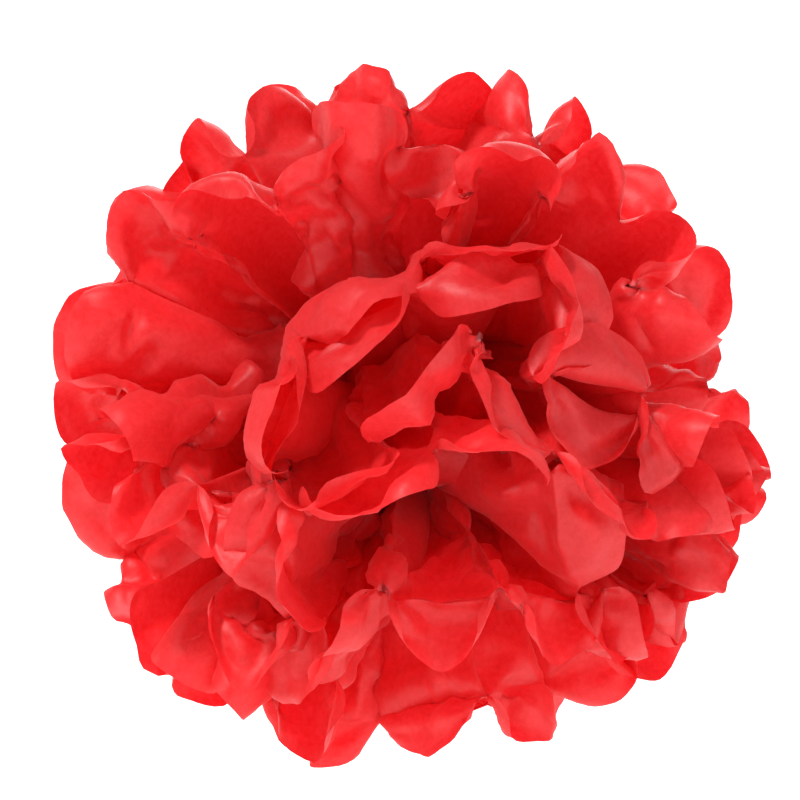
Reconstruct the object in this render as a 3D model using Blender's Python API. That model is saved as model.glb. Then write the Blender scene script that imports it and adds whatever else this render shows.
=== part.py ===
"""Tissue paper pom pom: eight accordion-folded sheets with round-cut ends, cinched at the waist by one
twisted wire, and fanned out and lifted one by one into a ball.

Frame: metres, +Z up, origin at the centre of the waist. The front pole, where the first sheet opens,
points to -Y. Each sheet is described in its own fan frame: u runs along the folded strip, v along the
seam between the sheet's two fans, and the pole is the Y axis.
"""

import math
import random

import bmesh
import bpy
from mathutils import Vector

MM = 0.001

# The flat cut
SHEET_COUNT = 8
PANEL_COUNT = 10  # pleats across a sheet
PANEL_WIDTH = 43 * MM
NOTCH_REACH = 103.5 * MM  # from the waist to the notch between two lobes, along a crease
LOBE_STEPS = 6
PAPER_THICKNESS = 0.4 * MM  # the real tissue is 0.03 mm; this is its closed stand-in

# How the sheets stand
SEAM_ANGLE = math.radians(34)  # the seam's slope, seen from the front
POLE_ANGLE_FIRST = math.radians(28)  # from the front pole to the first sheet
POLE_ANGLE_LAST = math.radians(152)
SEAM_HALF_GAP = math.radians(-0.8)  # a fan opens a little past a half circle, to close the seam
ANGLE_JITTER = math.radians(2.5)
REACH_JITTER = 3 * MM
JITTER_SEED = 11

# The waist
BUNDLE_RADIUS = 4.2 * MM
STACK_PITCH = 0.8 * MM
WAIST_HALF_LENGTH = 3 * MM
BEND_REACH = 28 * MM  # a sheet leaves the waist flat and has its full slope from here on
ROW_REACHES = [0, 6 * MM, 13 * MM, BEND_REACH]  # rows of vertices down a crease, before its notch

# The wire tie
WIRE_RADIUS = 0.6 * MM
RING_RADIUS = 5.2 * MM
RING_STEPS = 26
RING_OPENING = math.radians(20)  # where the ring's two ends leave for the twist
TWIST_RADIUS = 0.78 * MM  # of the strands' centre lines, so that they don't quite touch
TWIST_START = 6.8 * MM
TWIST_PITCH = 4 * MM
TWIST_TURNS = 2.5
TWIST_STEPS_PER_TURN = 12
EYE_RADIUS = 3.2 * MM
EYE_STEPS = 18
EYE_SWEEP = math.radians(285)

TISSUE_COLOUR = (0.80, 0.012, 0.022, 1)
WIRE_COLOUR = (0.55, 0.56, 0.57, 1)


def from_fan(u, y, v):
    """A point of the fan frame in the part's own frame."""
    return Vector((
        -u * math.sin(SEAM_ANGLE) + v * math.cos(SEAM_ANGLE),
        y,
        u * math.cos(SEAM_ANGLE) + v * math.sin(SEAM_ANGLE),
    ))


def smooth_step(share):
    share = min(1.0, max(0.0, share))
    return share * share * (3 - 2 * share)


def make_material(name, colour, roughness, metallic):
    material = bpy.data.materials.new(name)
    material.use_nodes = True
    shader = material.node_tree.nodes["Principled BSDF"]
    shader.inputs["Base Color"].default_value = colour
    shader.inputs["Roughness"].default_value = roughness
    shader.inputs["Metallic"].default_value = metallic
    return material


def crease_bearings():
    """The creases' bearings round the pole, from one free edge of a fan to the other."""
    sweep = math.pi - 2 * SEAM_HALF_GAP
    return [-sweep / 2 + sweep * i / PANEL_COUNT for i in range(PANEL_COUNT + 1)]


def pleat_half_angle(pole_angle):
    """How far creases stand to either side of the sheet's mean slope, so that a panel keeps its width."""
    bearing_step = (math.pi - 2 * SEAM_HALF_GAP) / PANEL_COUNT
    chord = 2 * NOTCH_REACH * math.sin(pole_angle) * math.sin(bearing_step / 2)
    depth = math.sqrt(max(0.0, PANEL_WIDTH**2 - chord**2))
    return math.asin(min(1.0, depth / (2 * NOTCH_REACH)))


def crease_points(origin, side, bearing, pole_angle, notch_reach):
    """Points down one crease, from the waist to its notch. It starts square to the pole and bends
    to its own slope."""
    points = [origin]
    reaches = [*ROW_REACHES, notch_reach]
    for near, far in zip(reaches, reaches[1:]):
        share = smooth_step((near + far) / 2 / BEND_REACH)
        angle = math.pi / 2 + (pole_angle - math.pi / 2) * share
        heading = from_fan(
            side * math.sin(angle) * math.cos(bearing),
            -math.cos(angle),
            math.sin(angle) * math.sin(bearing),
        )
        points.append(points[-1] + heading * (far - near))
    return points


def lobe_points(first, second, outward):
    """The round-cut end of one panel, as the points of a half circle on the chord between its notches."""
    middle = (first + second) / 2
    radius = (second - first).length / 2
    across = (second - first).normalized()
    out = (outward - across * outward.dot(across)).normalized()
    angles = [math.pi * step / LOBE_STEPS for step in range(1, LOBE_STEPS)]
    return [middle + radius * (out * math.sin(a) - across * math.cos(a)) for a in angles]


def add_fan(mesh, side, stack_y, half_width, mean_angle, dice):
    """One fan of a sheet. Returns its row of vertices at the waist."""
    bearings = crease_bearings()
    pleat = pleat_half_angle(mean_angle)
    creases = []
    for number, bearing in enumerate(bearings):
        across = half_width * math.sin(bearing) / math.sin(bearings[-1])
        angle = mean_angle + (pleat if number % 2 else -pleat)
        angle += dice.uniform(-ANGLE_JITTER, ANGLE_JITTER)
        reach = NOTCH_REACH + dice.uniform(-REACH_JITTER, REACH_JITTER)
        origin = from_fan(side * WAIST_HALF_LENGTH, stack_y, across)
        points = crease_points(origin, side, bearing, angle, reach)
        creases.append([mesh.verts.new(point) for point in points])
    for left, right in zip(creases, creases[1:]):
        for row in range(len(left) - 1):
            mesh.faces.new((left[row], left[row + 1], right[row + 1], right[row]))
        outward = (left[-1].co - left[-2].co) + (right[-1].co - right[-2].co)
        arc = [mesh.verts.new(p) for p in lobe_points(left[-1].co, right[-1].co, outward)]
        mesh.faces.new([left[-1], *arc, right[-1]])
    return [crease[0] for crease in creases]


def make_sheet(number, material):
    """One sheet: two fans joined by the flat ribbon that passes through the wire."""
    dice = random.Random(JITTER_SEED + number)
    stack_y = (number - (SHEET_COUNT - 1) / 2) * STACK_PITCH
    half_width = math.sqrt(BUNDLE_RADIUS**2 - stack_y**2)
    step = (POLE_ANGLE_LAST - POLE_ANGLE_FIRST) / (SHEET_COUNT - 1)
    mean_angle = POLE_ANGLE_FIRST + step * number
    mesh = bmesh.new()
    upper = add_fan(mesh, 1, stack_y, half_width, mean_angle, dice)
    lower = add_fan(mesh, -1, stack_y, half_width, mean_angle, dice)
    for i in range(PANEL_COUNT):
        mesh.faces.new((upper[i], upper[i + 1], lower[i + 1], lower[i]))
    bmesh.ops.recalc_face_normals(mesh, faces=mesh.faces)
    name = f"tissue_sheet_{number + 1}"
    data = bpy.data.meshes.new(name)
    mesh.to_mesh(data)
    mesh.free()
    data.materials.append(material)
    sheet = bpy.data.objects.new(name, data)
    bpy.context.scene.collection.objects.link(sheet)
    thicken = sheet.modifiers.new("paper_thickness", "SOLIDIFY")
    thicken.thickness = PAPER_THICKNESS
    thicken.offset = 0


def ring_path():
    """The turn round the bundle, in the plane of the seam, open where the two ends meet."""
    start = math.pi / 2 + RING_OPENING / 2
    sweep = 2 * math.pi - RING_OPENING
    angles = [start + sweep * i / RING_STEPS for i in range(RING_STEPS + 1)]
    return [from_fan(0, RING_RADIUS * math.cos(a), RING_RADIUS * math.sin(a)) for a in angles]


def twist_path(phase):
    """One strand of the twisted pair, outwards from the ring."""
    steps = round(TWIST_TURNS * TWIST_STEPS_PER_TURN)
    points = []
    for i in range(steps + 1):
        turn = i / TWIST_STEPS_PER_TURN
        angle = 2 * math.pi * turn + phase
        points.append(from_fan(
            TWIST_RADIUS * math.sin(angle),
            TWIST_RADIUS * math.cos(angle),
            TWIST_START + TWIST_PITCH * turn,
        ))
    return points


def eye_path(side_y):
    """The eyelet that the longer strand is curled into, for a hanging thread."""
    base = TWIST_START + TWIST_PITCH * TWIST_TURNS
    points = []
    for i in range(1, EYE_STEPS + 1):
        angle = EYE_SWEEP * i / EYE_STEPS
        points.append(from_fan(
            0,
            side_y * (TWIST_RADIUS + EYE_RADIUS * (1 - math.cos(angle))),
            base + EYE_RADIUS * math.sin(angle),
        ))
    return points


def make_wire_tie(material):
    """One length of wire: a twisted tail, the turn round the bundle, and the tail's other strand,
    which ends in the eyelet."""
    first_strand = twist_path(math.pi)
    second_strand = twist_path(0)
    last_turn_side = math.cos(2 * math.pi * TWIST_TURNS)
    route = [*reversed(first_strand), *ring_path(), *second_strand, *eye_path(last_turn_side)]
    curve = bpy.data.curves.new("wire_tie", "CURVE")
    curve.dimensions = "3D"
    curve.bevel_depth = WIRE_RADIUS
    curve.bevel_resolution = 1
    curve.use_fill_caps = True
    spline = curve.splines.new("POLY")
    spline.points.add(len(route) - 1)
    for point, place in zip(spline.points, route):
        point.co = (*place, 1)
    curve.materials.append(material)
    tie = bpy.data.objects.new("wire_tie", curve)
    bpy.context.scene.collection.objects.link(tie)


def main():
    for obj in list(bpy.data.objects):
        bpy.data.objects.remove(obj)
    tissue = make_material("red_tissue", TISSUE_COLOUR, roughness=0.55, metallic=0.0)
    wire = make_material("steel_wire", WIRE_COLOUR, roughness=0.35, metallic=1.0)
    for number in range(SHEET_COUNT):
        make_sheet(number, tissue)
    make_wire_tie(wire)


main()
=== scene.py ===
"""Visual model of the red tissue paper pom pom: eight accordion-folded tissue sheets round a wire tie.

Each sheet has two fans. A fan is ten panels between eleven creases, and each panel ends in a round lobe
between two notches. The creases are listed one by one on the four front sheets and placed by rule on the
others. A position-based simulation then makes the paper keep its width, so that it bulges and buckles, and
fine crumples are added last.
"""
import math

import bmesh
import bpy
import numpy as np
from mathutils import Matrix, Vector


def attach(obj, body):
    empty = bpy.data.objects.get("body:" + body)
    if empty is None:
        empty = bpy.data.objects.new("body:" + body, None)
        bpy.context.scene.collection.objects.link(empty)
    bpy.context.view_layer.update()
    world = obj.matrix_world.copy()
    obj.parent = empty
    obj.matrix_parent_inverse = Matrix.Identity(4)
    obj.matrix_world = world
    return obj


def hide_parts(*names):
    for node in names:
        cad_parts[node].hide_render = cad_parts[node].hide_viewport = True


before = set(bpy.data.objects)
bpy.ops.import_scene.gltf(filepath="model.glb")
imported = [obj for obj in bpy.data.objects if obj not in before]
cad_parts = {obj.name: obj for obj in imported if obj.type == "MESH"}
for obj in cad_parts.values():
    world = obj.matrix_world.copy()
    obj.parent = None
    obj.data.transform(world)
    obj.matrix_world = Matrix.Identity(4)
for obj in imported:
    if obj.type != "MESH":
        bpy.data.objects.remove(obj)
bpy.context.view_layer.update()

MM = 0.001

# The flat cut, as in the solids
SHEET_COUNT = 8
PANEL_COUNT = 10
PANEL_WIDTH = 43 * MM
NOTCH_REACH = 103.5 * MM
LOBE_RADIUS = PANEL_WIDTH / 2
SHEET_FLAT = (PANEL_COUNT * PANEL_WIDTH, 2 * (NOTCH_REACH + LOBE_RADIUS))

# The waist and the seam
SEAM_ANGLE = math.radians(34)
STACK_PITCH = 0.8 * MM
BUNDLE_RADIUS = 4.2 * MM
WAIST_HALF_LENGTH = 3 * MM
KNEE_REACH = 16 * MM  # how far a crease runs straight out before it turns to its notch
KNEE_SHARE = 0.7  # of the knee, in the control point that a crease's curve bends round
BOW_PEAK = 256 / 27  # scales t^3 (1 - t) to a peak of one

# The grid of a fan
PANEL_COLUMNS = 12
PANEL_ROWS = 25
LOBE_ROWS = 6
COLUMNS = PANEL_COUNT * PANEL_COLUMNS + 1
ROWS = PANEL_ROWS + LOBE_ROWS + 1
NOTCH_ROW = PANEL_ROWS
CREASES = np.arange(0, COLUMNS, PANEL_COLUMNS)

# Creases by rule, in degrees
POLE_ANGLE_FIRST = 28
POLE_ANGLE_LAST = 152
AUTO_SWEEP = 196  # a fan opens past a half circle, so that the seam closes
AUTO_MIDDLE = (124, 304)  # the bearing of each fan's middle
BEARING_JITTER = 6
POLE_JITTER = 8
SWING_AT_RIM = 9  # how far creases stand to either side of the sheet's mean slope
SWING_NEAR_POLE = 13
RIM_RANGE = 40  # a sheet within this of the rim has the rim's swing
LOBE_LEAN_LIMIT = 90

# The paper
CRUSHED_WIDTH = 0.12  # the share of a panel's width that is spread out at the waist
SPREAD_REACH = 42 * MM  # from here on a panel is spread out whole
BULGE_SHARE = 0.55  # of the slack in a panel's width
LOBE_TURN_START = 0.55  # how far a lobe has turned at its chord, of the whole turn
STIFF_BODY = 0.3
STIFF_LOBE = 0.9
STIFF_CREASE = 0.15  # of the rest's stiffness
STIFF_HINGE = 0.03
STIFF_SHEAR = 0.35
PIN_NOTCH = 0.9
PIN_CREASE = 0.08
PIN_LOBE_TIP = 0.15
FIRST_PINNED_ROW = 4
PASSES = 160
LONG_WAVE = 2.4 * MM  # the unevenness that the paper starts with
SHORT_WAVE = 1.8 * MM
WAVE_START = 15 * MM

dice = np.random.default_rng(20)


# ---------------------------------------------------------------- how the creases stand
# A crease is (bearing, pole angle) in degrees: the bearing runs anticlockwise from +X seen from the
# front, and the pole angle is from the front pole, -Y. A fan's creases run anticlockwise. Two more
# numbers are how far the crease bows out sideways before its notch, in mm, and the bearing it bows to.
UPPER, LOWER = 0, 1
HAND_CREASES = {
    (0, UPPER): [(350, 52), (358, 58), (6, 46), (17, 23, 4, 17), (49, 38, 5, 49), (86, 22, 8, 110),
                 (159, 20, 8, 145), (206, 24, 4, 180), (198, 38), (188, 48), (196, 58)],
    (0, LOWER): [(224, 48), (241, 40), (208, 24, 4, 124), (222, 6, 12, 135), (47, 18, 6, 125),
                 (347, 26, 6, 60), (338, 49), (343, 68), (350, 58), (354, 72), (358, 84)],
    (1, UPPER): [(352, 80), (358, 66), (0, 46), (17, 27, 6, 20), (48, 44, 7, 50), (84, 29, 13, 100),
                 (140, 23, 13, 140), (206, 28, 9, 170), (192, 46, 8, 100), (176, 55, 8, 260), (186, 72)],
    (1, LOWER): [(222, 68), (238, 62), (249, 39), (220, 22, 4, 150), (312, 8, 11, 100), (340, 27, 5, 60),
                 (315, 46), (324, 66), (334, 80), (342, 72), (350, 86)],
    (2, UPPER): [(12, 64), (28, 52), (42, 64), (56, 50), (74, 44), (90, 54), (106, 60), (120, 48),
                 (138, 56), (154, 66), (176, 62)],
    (2, LOWER): [(214, 66), (230, 58), (244, 66), (256, 54), (264, 30, 4, 90), (300, 35, 6, 110),
                 (319, 52), (312, 72), (326, 80), (338, 84), (350, 90)],
    (3, UPPER): [(14, 88), (34, 76), (54, 92), (64, 74), (73, 92), (89, 72), (105, 92), (121, 74),
                 (133, 92), (154, 84), (177, 90)],
    (3, LOWER): [(186, 78), (207, 92), (226, 74), (241, 90), (256, 74), (266, 88), (287, 64), (297, 84),
                 (318, 72), (330, 90), (352, 76)],
}
# Where each panel's lobe points: a lean towards the pole in degrees, or a (bearing, pole angle)
HAND_LOBES = {
    (0, UPPER): [-20, (270, 70), (100, 85), 0, (262, 42), (250, 40), (20, 40), (262, 75), -30, 0],
    (0, LOWER): [(262, 80), (185, 85), (130, 32), (132, 20), 20, (275, 25), -50, -30, 0, 20],
    (1, UPPER): [-30, (274, 85), (282, 80), (345, 100), 10, 0, 10, (264, 80), -30, 0],
    (1, LOWER): [-20, (285, 85), (200, 10), 0, 10, (0, 85), (290, 85), -40, 10, 0],
    (2, UPPER): [-10, 20, -20, 60, (280, 60), -30, 40, (230, 50), -20, (180, 70)],
    (2, LOWER): [10, -20, -10, (225, 95), (268, 80), (285, 80), -40, 0, 20, 0],
    (3, UPPER): [0, -10, 10, 0, 20, -10, 0, 10, -10, 0],
    (3, LOWER): [-10, 10, 0, -20, 0, 10, 0, -10, 0, 10],
}


def auto_creases(sheet, fan):
    """Creases by rule: alternately nearer and further from the pole, with some disorder."""
    pole = POLE_ANGLE_FIRST + (POLE_ANGLE_LAST - POLE_ANGLE_FIRST) * sheet / (SHEET_COUNT - 1)
    swing = SWING_AT_RIM if abs(pole - 90) < RIM_RANGE else SWING_NEAR_POLE
    creases = []
    for i in range(PANEL_COUNT + 1):
        jitter = dice.uniform(-BEARING_JITTER, BEARING_JITTER)
        bearing = AUTO_MIDDLE[fan] + AUTO_SWEEP * (i / PANEL_COUNT - 0.5) + jitter
        angle = pole + (swing if (i + sheet) % 2 else -swing) + dice.uniform(-POLE_JITTER, POLE_JITTER)
        creases.append((bearing, angle))
    return creases


def heading(bearing, pole_angle):
    """The unit vector of a bearing and a pole angle, in degrees."""
    b, a = np.radians(bearing), np.radians(pole_angle)
    return np.stack([np.sin(a) * np.cos(b), -np.cos(a), np.sin(a) * np.sin(b)], axis=-1)


def flat_grid():
    """The flat cut's (along, reach) of each grid point. Columns are closer near the creases, so that a
    lobe's edge is an even half circle."""
    turn = np.pi * np.arange(PANEL_COLUMNS) / PANEL_COLUMNS
    one_panel = LOBE_RADIUS * (1 - np.cos(turn))
    panels = [one_panel + p * PANEL_WIDTH for p in range(PANEL_COUNT)]
    along = np.concatenate([*panels, [SHEET_FLAT[0]]])
    height = LOBE_RADIUS * np.abs(np.sin(np.pi * np.arange(COLUMNS) / PANEL_COLUMNS))
    height[CREASES] = 0
    reach = np.zeros((COLUMNS, ROWS))
    for row in range(ROWS):
        if row <= NOTCH_ROW:
            reach[:, row] = NOTCH_REACH * row / PANEL_ROWS
        else:
            reach[:, row] = NOTCH_REACH + height * (row - NOTCH_ROW) / LOBE_ROWS
    return along, reach


ALONG, REACH = flat_grid()


def smooth(x):
    """Zero to one as x goes from zero to one, with an even start and end."""
    x = np.clip(x, 0, 1)
    return x * x * (3 - 2 * x)


def unit(v):
    """The vectors of an array, each scaled to length one."""
    return v / np.maximum(np.linalg.norm(v, axis=-1, keepdims=True), 1e-9)


def crease_line(start, goal, away, bow):
    """Points down one crease at even steps, as long as the flat crease: out from the waist, round to the
    notch, and bowed towards `away` on the way."""
    t = np.linspace(0, 1, 200)[:, None]
    flat_out = unit(goal * np.array([1, 0, 1]))
    knee = start + flat_out * KNEE_REACH
    reach = NOTCH_REACH
    for _ in range(6):  # moves the notch until the bowed crease has its flat length
        end = goal * reach
        bend = KNEE_SHARE * knee + (1 - KNEE_SHARE) * end
        curve = (1 - t)**2 * start + 2 * t * (1 - t) * bend + t**2 * end
        curve = curve + away * bow * t**3 * (1 - t) * BOW_PEAK
        steps = np.linalg.norm(np.diff(curve, axis=0), axis=1)
        reach *= NOTCH_REACH / steps.sum()
    travelled = np.concatenate([[0], np.cumsum(steps)]) / steps.sum()
    rows = np.linspace(0, 1, NOTCH_ROW + 1)
    return np.stack([np.interp(rows, travelled, curve[:, k]) for k in range(3)], axis=-1)


def crease_lines(sheet, fan, creases):
    """Points down each crease: shape (creases, NOTCH_ROW + 1, 3)."""
    side = 1 if fan == UPPER else -1
    stack_y = (sheet - (SHEET_COUNT - 1) / 2) * STACK_PITCH
    half = math.sqrt(BUNDLE_RADIUS**2 - stack_y**2)
    seam = np.array([math.cos(SEAM_ANGLE), 0, math.sin(SEAM_ANGLE)])
    strip = np.array([-math.sin(SEAM_ANGLE), 0, math.cos(SEAM_ANGLE)])
    lines = []
    for i, (bearing, pole, *bow) in enumerate(creases):
        share = 2 * i / PANEL_COUNT - 1
        start = side * WAIST_HALF_LENGTH * strip - side * seam * half * share + np.array([0, stack_y, 0])
        amount, towards = bow or (0, bearing)
        lines.append(crease_line(start, heading(bearing, pole), heading(towards, 90), amount * MM))
    return np.array(lines)


def lobe_heading(wish, out, face, chord):
    """The direction that a lobe ends in: square to its chord, and as near as can be to what is asked."""
    if isinstance(wish, tuple):
        asked = heading(*wish)
        return unit(asked - chord * (asked @ chord))
    lean = math.radians(wish)
    return out * math.cos(lean) + face * math.sin(lean)


def fan_start(sheet, fan, creases, lobes):
    """The fan's first shape: bulged panels between the creases, and lobes leaning from their chords."""
    lines = crease_lines(sheet, fan, creases)
    shape = np.zeros((COLUMNS, ROWS, 3))
    for p in range(PANEL_COUNT):
        left, right = lines[p], lines[p + 1]
        columns = np.arange(PANEL_COLUMNS + 1) + p * PANEL_COLUMNS
        t = (ALONG[columns] - ALONG[columns[0]]) / PANEL_WIDTH
        chord = right - left
        length = np.linalg.norm(chord, axis=-1)
        down = np.gradient((left + right) / 2, axis=0)
        normal = unit(np.cross(chord, down))
        towards_pole = np.where(normal[:, 1:2] < 0, 1, -1)
        normal = normal * towards_pole
        width = PANEL_WIDTH * rest_width(np.arange(NOTCH_ROW + 1) * NOTCH_REACH / PANEL_ROWS)
        bulge = BULGE_SHARE * np.sqrt(np.maximum(0, width**2 - length**2))
        sign = dice.choice([-1, 1])
        arc = 4 * t * (1 - t)
        body = left[None] + t[:, None, None] * chord[None]
        body = body + sign * (arc[:, None] * bulge[None])[..., None] * normal[None]
        shape[columns, :NOTCH_ROW + 1] = body
        first, last = left[-1], right[-1]
        out = unit((left[-1] - left[-3]) + (right[-1] - right[-3]))
        turned = lobe_heading(lobes[p], out, normal[-1], unit(last - first))
        for row in range(NOTCH_ROW + 1, ROWS):
            share = min(1, LOBE_TURN_START + (row - NOTCH_ROW) / LOBE_ROWS)
            move = unit(out * (1 - share) + turned * share)
            step = (REACH[columns, row] - REACH[columns, row - 1])[:, None]
            shape[columns, row] = shape[columns, row - 1] + step * move
    return shape


def rest_width(reach):
    """How much of a panel's width is spread out at a reach. Near the waist the paper is crushed."""
    return CRUSHED_WIDTH + (1 - CRUSHED_WIDTH) * smooth(np.asarray(reach) / SPREAD_REACH)


# ---------------------------------------------------------------- paper simulation
def rest_lengths():
    """The paper's own lengths between neighbouring grid points, along the sheet and down the strip."""
    width = rest_width(np.minimum(REACH, NOTCH_REACH))
    across = (ALONG[1:] - ALONG[:-1])[:, None] * (width[1:] + width[:-1]) / 2
    slant = REACH[1:] - REACH[:-1]
    across = np.sqrt(across**2 + slant**2)
    down = REACH[:, 1:] - REACH[:, :-1]
    return across, down


def solve_pairs(points, weights, a, b, rest, stiff, push_only=False):
    """Moves each pair of grid points towards its rest length. a and b are index tuples."""
    pa, pb = points[a], points[b]
    wa, wb = weights[a][..., None], weights[b][..., None]
    gap = pb - pa
    length = np.sqrt((gap**2).sum(-1, keepdims=True)) + 1e-9
    error = (length - rest[..., None]) / length
    if push_only:
        error = np.minimum(error, 0)
    move = gap * error * (stiff / (wa + wb + 1e-9))
    points[a] = pa + move * wa
    points[b] = pb - move * wb


def relax(points, weights, pins, pin_strength, passes):
    """Makes the paper keep its lengths, resist bending and stay near its pins. Pairs that share no point
    are solved together, so each kind of pair is taken in two or four lots."""
    across, down = rest_lengths()
    diagonal = np.sqrt((across[:, 1:] + across[:, :-1])**2 / 4 + (down[1:] + down[:-1])**2 / 4)
    across_two = across[1:] + across[:-1]
    down_two = down[:, 1:] + down[:, :-1]
    lobe = np.arange(ROWS) > NOTCH_ROW
    fold_free = np.ones(COLUMNS - 2)
    fold_free[CREASES[1:-1] - 1] = STIFF_CREASE
    across_stiff = fold_free[:, None] * np.where(lobe, STIFF_LOBE, STIFF_BODY)[None]
    down_stiff = np.where(lobe[1:-1], STIFF_LOBE, STIFF_BODY)
    down_stiff[NOTCH_ROW - 1] = STIFF_HINGE
    fans = slice(None)
    every = slice(None)
    upper_rows, lower_rows = slice(0, ROWS - 1), slice(1, ROWS)
    for _ in range(passes):
        for odd in (0, 1):
            a, b = (fans, slice(odd, COLUMNS - 1, 2)), (fans, slice(odd + 1, COLUMNS, 2))
            solve_pairs(points, weights, a, b, across[None, odd::2], 1.0)
        for odd in (0, 1):
            a, b = (fans, every, slice(odd, ROWS - 1, 2)), (fans, every, slice(odd + 1, ROWS, 2))
            solve_pairs(points, weights, a, b, down[None, :, odd::2], 1.0)
        for odd in (0, 1):
            left, right = slice(odd, COLUMNS - 1, 2), slice(odd + 1, COLUMNS, 2)
            rest = diagonal[None, odd::2]
            for a_columns, b_columns in ((left, right), (right, left)):
                a, b = (fans, a_columns, upper_rows), (fans, b_columns, lower_rows)
                solve_pairs(points, weights, a, b, rest, STIFF_SHEAR)
        for first in (0, 1, 2, 3):
            a, b = (fans, slice(first, COLUMNS - 2, 4)), (fans, slice(first + 2, COLUMNS, 4))
            stiff = across_stiff[first::4][None, :, :, None]
            solve_pairs(points, weights, a, b, across_two[None, first::4], stiff, True)
            a, b = (fans, every, slice(first, ROWS - 2, 4)), (fans, every, slice(first + 2, ROWS, 4))
            stiff = down_stiff[first::4][None, None, :, None]
            solve_pairs(points, weights, a, b, down_two[None, :, first::4], stiff, True)
        points += (pins - points) * pin_strength[..., None]
        points[:, CREASES, NOTCH_ROW + 1:] = points[:, CREASES, NOTCH_ROW:NOTCH_ROW + 1]
    return points


def wave_noise(shape, waves_along, waves_down, seed):
    """Smooth noise over a grid from a few random sines, from -1 to 1."""
    local = np.random.default_rng(seed)
    u = np.linspace(0, 1, shape[0])[:, None]
    v = np.linspace(0, 1, shape[1])[None, :]
    total = np.zeros(shape)
    for _ in range(7):
        a = waves_along * local.uniform(0.5, 1.5)
        b = waves_down * local.uniform(-1, 1)
        total += np.sin(2 * np.pi * (a * u + b * v) + local.uniform(0, 7))
    return total / 3


def surface_normals(points):
    """Each grid point's unit normal, for an array of fans."""
    du = np.gradient(points, axis=1)
    dv = np.gradient(points, axis=2)
    return unit(np.cross(du, dv))


def shape_all():
    """All sixteen fans' grid points."""
    starts = []
    for sheet in range(SHEET_COUNT):
        for fan in (UPPER, LOWER):
            creases = HAND_CREASES.get((sheet, fan)) or auto_creases(sheet, fan)
            leans = dice.uniform(-1, 1, PANEL_COUNT)**3 * LOBE_LEAN_LIMIT  # mostly small
            starts.append(fan_start(sheet, fan, creases, HAND_LOBES.get((sheet, fan), leans)))
    points = np.array(starts)
    pins = points.copy()
    weights = np.ones(points.shape[:3])
    weights[:, :, :2] = 0  # the two rows at the waist are fixed
    strength = np.zeros(points.shape[:3])
    strength[:, CREASES, NOTCH_ROW] = PIN_NOTCH
    strength[:, CREASES[:, None], np.arange(FIRST_PINNED_ROW, NOTCH_ROW)] = PIN_CREASE
    tips = CREASES[:-1] + PANEL_COLUMNS // 2
    strength[:, tips, ROWS - 1] = PIN_LOBE_TIP
    normals = surface_normals(points)
    for n in range(len(points)):  # starts each fan uneven, so that it buckles where it has slack
        crumple = wave_noise((COLUMNS, ROWS), 22, 2, 100 + n) * LONG_WAVE
        crumple += wave_noise((COLUMNS, ROWS), 48, 5, 200 + n) * SHORT_WAVE
        fade = np.clip(1.25 - REACH / NOTCH_REACH, 0.1, 1) * smooth(REACH / WAVE_START)
        points[n] += normals[n] * (crumple * fade)[..., None]
    return relax(points, weights, pins, strength, PASSES)


# ---------------------------------------------------------------- fine crumples
FINE_ACROSS = 2
FINE_DOWN = 3
BIG_FACET = (13 * MM, 22 * MM)  # along the sheet, and down the strip
SMALL_FACET = (6 * MM, 10 * MM)
BIG_CRUMPLE = 7 * MM
SMALL_CRUMPLE = 3.6 * MM
CRUMPLE_START = 38 * MM  # the reach at which the crumples are at full depth
CRUMPLE_END = 1.4  # in notch reaches: the crumples fade out towards here
BIG_ON_LOBES = 0.04
SMALL_ON_LOBES = 0.03
PATCH_MEAN = 0.65
PATCH_SWING = 0.5
PATCH_RANGE = (0.2, 1.1)
LATTICE_BEND = 0.45  # of a facet's size
LATTICE_MARGIN = 4  # whole facets, so that the bent lattice never runs below zero


def refine(values, factor, axis):
    """Puts points between the grid's, on a smooth curve through it along one axis."""
    values = np.moveaxis(values, axis, 0)
    padded = np.concatenate([2 * values[:1] - values[1:2], values, 2 * values[-1:] - values[-2:-1]])
    before, start, end, after = padded[:-3], padded[1:-2], padded[2:-1], padded[3:]
    square = 2 * before - 5 * start + 4 * end - after
    cube = 3 * (start - end) + after - before
    parts = []
    for step in range(factor):
        t = step / factor
        parts.append(start + 0.5 * t * (end - before + t * (square + t * cube)))
    fine = np.stack(parts, axis=1).reshape(-1, *values.shape[1:])
    return np.moveaxis(np.concatenate([fine, values[-1:]]), 0, axis)


def facets(along, reach, facet_size, seed):
    """A crumpled height field: flat triangles between random heights, on a lattice bent out of line."""
    local = np.random.default_rng(seed)
    u = along / facet_size[0] + LATTICE_BEND * wave_noise(along.shape, 9, 3, seed + 1) + LATTICE_MARGIN
    v = reach / facet_size[1] + LATTICE_BEND * wave_noise(along.shape, 12, 2, seed + 2) + LATTICE_MARGIN
    i, j = np.floor(u).astype(int), np.floor(v).astype(int)
    f, g = u - i, v - j
    size = (i.max() + 2, j.max() + 2)
    heights = local.normal(0, 1, size)
    crossed = local.random(size)[i, j] < 0.5
    near, far = heights[i, j], heights[i + 1, j + 1]
    side, other = heights[i + 1, j], heights[i, j + 1]
    one_way = np.where(f + g < 1, near + f * (side - near) + g * (other - near),
                       far + (1 - f) * (other - far) + (1 - g) * (side - far))
    other_way = np.where(f > g, near + f * (side - near) + g * (far - side),
                         near + g * (other - near) + f * (far - other))
    return np.where(crossed, other_way, one_way)


def fine_cut():
    """The flat cut's (along, reach) on the fine grid."""
    along = np.repeat(ALONG[:, None], ROWS, axis=1)
    return [refine(refine(values, FINE_ACROSS, 0), FINE_DOWN, 1) for values in (along, REACH)]


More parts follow.
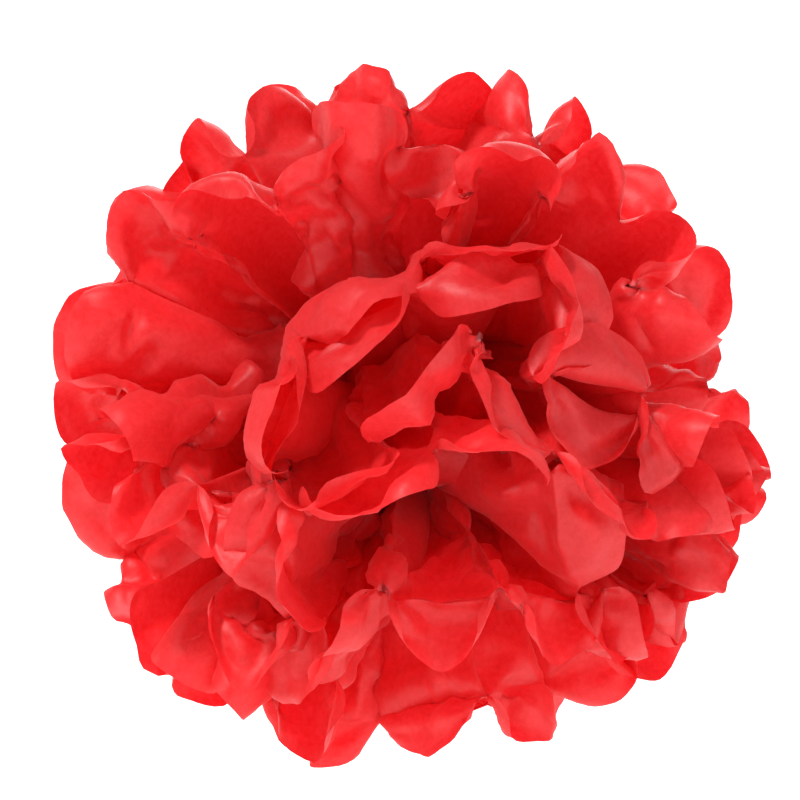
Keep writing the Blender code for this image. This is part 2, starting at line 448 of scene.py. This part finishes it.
def fine_fans(points):
    """The fans on the fine grid, crumpled along their normals: most in patches, and least on the lobes."""
    fine = refine(refine(points, FINE_ACROSS, 1), FINE_DOWN, 2)
    along, reach = fine_cut()
    normals = surface_normals(fine)
    share = reach / NOTCH_REACH
    inner = smooth(reach / CRUMPLE_START) * np.clip(CRUMPLE_END - share, 0, 1)
    for n in range(len(fine)):
        big = facets(along, reach, BIG_FACET, 300 + n) * BIG_CRUMPLE
        small = facets(along, reach, SMALL_FACET, 400 + n) * SMALL_CRUMPLE
        soft = wave_noise(along.shape, 5, 2, 500 + n)
        patch = np.clip(PATCH_MEAN + PATCH_SWING * soft, *PATCH_RANGE)
        lift = big * (inner + BIG_ON_LOBES) * patch + small * (inner + SMALL_ON_LOBES) * patch**2
        fine[n] += normals[n] * lift[..., None]
    return fine


# ---------------------------------------------------------------- meshes
def grid_faces(index, flip):
    """Quads of a grid of vertex numbers, and triangles where a quad has one corner twice."""
    a, b = index[:-1, :-1].ravel(), index[1:, :-1].ravel()
    c, d = index[1:, 1:].ravel(), index[:-1, 1:].ravel()
    corners = np.stack([a, b, c, d] if not flip else [d, c, b, a], axis=-1)
    ahead = np.roll(corners, -1, axis=1)
    same = corners == ahead
    whole = corners[~same.any(axis=1)]
    once = same.sum(axis=1) == 1
    pinched = corners[once][~same[once]].reshape(-1, 3)
    return whole, pinched


def sheet_mesh(name, fans):
    """One mesh of a sheet's two fans, joined across the waist."""
    columns, rows = fans.shape[1], fans.shape[2]
    notch_row = NOTCH_ROW * FINE_DOWN
    creases = CREASES * FINE_ACROSS
    count = columns * rows
    quads, triangles, grids = [], [], []
    for side in (UPPER, LOWER):
        index = np.arange(count).reshape(columns, rows) + side * count
        index[creases, notch_row + 1:] = index[creases, notch_row:notch_row + 1]
        whole, pinched = grid_faces(index, flip=side == LOWER)
        quads.append(whole)
        triangles.append(pinched)
        grids.append(index)
    waist = np.stack([grids[UPPER][:, 0], grids[LOWER][::-1, 0]], axis=-1)
    quads.append(grid_faces(waist, flip=True)[0])
    quads, triangles = np.concatenate(quads), np.concatenate(triangles)
    used, renumbered = np.unique(np.concatenate([quads.ravel(), triangles.ravel()]), return_inverse=True)
    corner_count = len(renumbered)
    sizes = np.concatenate([np.full(len(quads), 4), np.full(len(triangles), 3)])
    starts = np.concatenate([[0], np.cumsum(sizes)[:-1]])
    data = bpy.data.meshes.new(name)
    data.vertices.add(len(used))
    data.vertices.foreach_set("co", fans.reshape(-1, 3)[used].astype(np.float32).ravel())
    data.loops.add(corner_count)
    data.loops.foreach_set("vertex_index", renumbered.astype(np.int32))
    data.polygons.add(len(sizes))
    data.polygons.foreach_set("loop_start", starts.astype(np.int32))
    data.polygons.foreach_set("loop_total", sizes.astype(np.int32))
    data.update(calc_edges=True)
    data.validate()
    data.shade_smooth()
    piece = bpy.data.objects.new(name, data)
    bpy.context.scene.collection.objects.link(piece)
    return piece


def add_node(tree, kind, inputs=None):
    """A shader node whose inputs are given as values, or as the sockets that feed them."""
    node = tree.nodes.new("ShaderNode" + kind)
    for name, value in (inputs or {}).items():
        if isinstance(value, bpy.types.NodeSocket):
            tree.links.new(value, node.inputs[name])
        else:
            node.inputs[name].default_value = value
    return node


def new_material(name):
    """A material with an empty node tree."""
    material = bpy.data.materials.new(name)
    material.use_nodes = True
    material.node_tree.nodes.clear()
    return material, material.node_tree


def tissue_material():
    """Thin red paper: mottled with fibres, and letting light through."""
    material, tree = new_material("tissue_paper_red")
    coords = add_node(tree, "TexCoord")
    fibres = add_node(tree, "TexNoise", {
        "Vector": coords.outputs["Object"],
        "Scale": 480,
        "Detail": 6,
        "Roughness": 0.7,
    })
    ramp = add_node(tree, "ValToRGB", {"Fac": fibres.outputs["Fac"]})
    ramp.color_ramp.elements[0].position = 0.32
    ramp.color_ramp.elements[0].color = (0.84, 0.003, 0.006, 1)
    ramp.color_ramp.elements[1].position = 0.68
    ramp.color_ramp.elements[1].color = (0.93, 0.026, 0.034, 1)
    bump = add_node(tree, "Bump", {"Strength": 0.4, "Distance": 0.0004, "Height": fibres.outputs["Fac"]})
    paper = add_node(tree, "BsdfPrincipled", {
        "Base Color": ramp.outputs["Color"],
        "Roughness": 0.46,
        "Specular IOR Level": 0.7,
        "Sheen Weight": 0.12,
        "Sheen Roughness": 0.6,
        "Normal": bump.outputs["Normal"],
    })
    through = add_node(tree, "BsdfTranslucent", {"Color": ramp.outputs["Color"]})
    mix = add_node(tree, "MixShader", {0: 0.42, 1: paper.outputs[0], 2: through.outputs[0]})
    add_node(tree, "OutputMaterial", {"Surface": mix.outputs[0]})
    return material


def wire_material():
    """Plain galvanised wire, unevenly dull."""
    material, tree = new_material("galvanised_wire")
    coords = add_node(tree, "TexCoord")
    grain = add_node(tree, "TexNoise", {"Vector": coords.outputs["Object"], "Scale": 900})
    tone = add_node(tree, "ValToRGB", {"Fac": grain.outputs["Fac"]})
    tone.color_ramp.elements[0].color = (0.42, 0.43, 0.44, 1)
    tone.color_ramp.elements[1].color = (0.66, 0.67, 0.68, 1)
    rough = add_node(tree, "MapRange", {"Value": grain.outputs["Fac"], "To Min": 0.25, "To Max": 0.5})
    shader = add_node(tree, "BsdfPrincipled", {
        "Base Color": tone.outputs["Color"],
        "Roughness": rough.outputs["Result"],
        "Metallic": 1.0,
    })
    add_node(tree, "OutputMaterial", {"Surface": shader.outputs[0]})
    return material


def make_sheets():
    """Makes the eight visible sheets, in place of the plain solid ones."""
    points = fine_fans(shape_all())
    material = tissue_material()
    for sheet in range(SHEET_COUNT):
        name = f"tissue_leaf_{sheet + 1}"
        piece = sheet_mesh(name, points[2 * sheet:2 * sheet + 2])
        piece.data.materials.append(material)
        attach(piece, "root")
        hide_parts(f"tissue_sheet_{sheet + 1}")


# ---------------------------------------------------------------- the setting
CAMERA_DISTANCE = 650 * MM
VIEW_WIDTH = 281 * MM  # at the waist's distance
CAMERA_OFFSET = (-0.7 * MM, 5.3 * MM)


def make_camera():
    """A camera that looks along +Y, level with the ball."""
    camera = bpy.data.cameras.new("view")
    camera.sensor_width = 36
    camera.lens = 36 * CAMERA_DISTANCE / VIEW_WIDTH
    holder = bpy.data.objects.new("view", camera)
    holder.location = (CAMERA_OFFSET[0], -CAMERA_DISTANCE, CAMERA_OFFSET[1])
    holder.rotation_euler = (math.radians(90), 0, 0)
    bpy.context.scene.collection.objects.link(holder)
    bpy.context.scene.camera = holder


def make_light(name, place, size, power):
    """A round lamp that faces the origin."""
    light = bpy.data.lights.new(name, "AREA")
    light.shape = "DISK"
    light.size = size
    light.energy = power
    holder = bpy.data.objects.new(name, light)
    holder.location = place
    holder.rotation_euler = (-Vector(place)).to_track_quat("-Z", "Y").to_euler()
    bpy.context.scene.collection.objects.link(holder)


def make_stage():
    """A pale floor under the hanging ball that sweeps up behind it."""
    mesh = bmesh.new()
    outline = [(-1.5, -0.16), (0.9, -0.16), (1.2, -0.10), (1.38, 0.05), (1.45, 0.3), (1.45, 1.6)]
    left, right = [[mesh.verts.new((x, y, z)) for y, z in outline] for x in (-2.5, 2.5)]
    for i in range(len(outline) - 1):
        mesh.faces.new((left[i], right[i], right[i + 1], left[i + 1]))
    data = bpy.data.meshes.new("studio_sweep")
    mesh.to_mesh(data)
    mesh.free()
    sweep = bpy.data.objects.new("studio_sweep", data)
    bpy.context.scene.collection.objects.link(sweep)
    material, tree = new_material("studio_white")
    shader = add_node(tree, "BsdfPrincipled", {
        "Base Color": (0.95, 0.95, 0.95, 1),
        "Roughness": 0.9,
        "Emission Color": (1, 1, 1, 1),
        "Emission Strength": 0.5,
    })
    add_node(tree, "OutputMaterial", {"Surface": shader.outputs[0]})
    data.materials.append(material)


def make_world():
    """Even white light from all round."""
    world = bpy.data.worlds.new("studio")
    world.use_nodes = True
    background = world.node_tree.nodes["Background"]
    background.inputs["Color"].default_value = (1, 1, 1, 1)
    background.inputs["Strength"].default_value = 0.4
    bpy.context.scene.world = world


bpy.context.scene.view_settings.view_transform = "Standard"
make_camera()
make_world()
make_stage()
make_light("key", (-0.6, -0.8, 1.2), 0.25, 17)
make_light("fill", (1.0, -1.1, 0.2), 1.0, 3.5)
make_light("back", (0.2, 1.0, 0.7), 0.9, 8)

make_sheets()
for slot in bpy.data.objects["wire_tie"].material_slots:
    slot.material = wire_material()
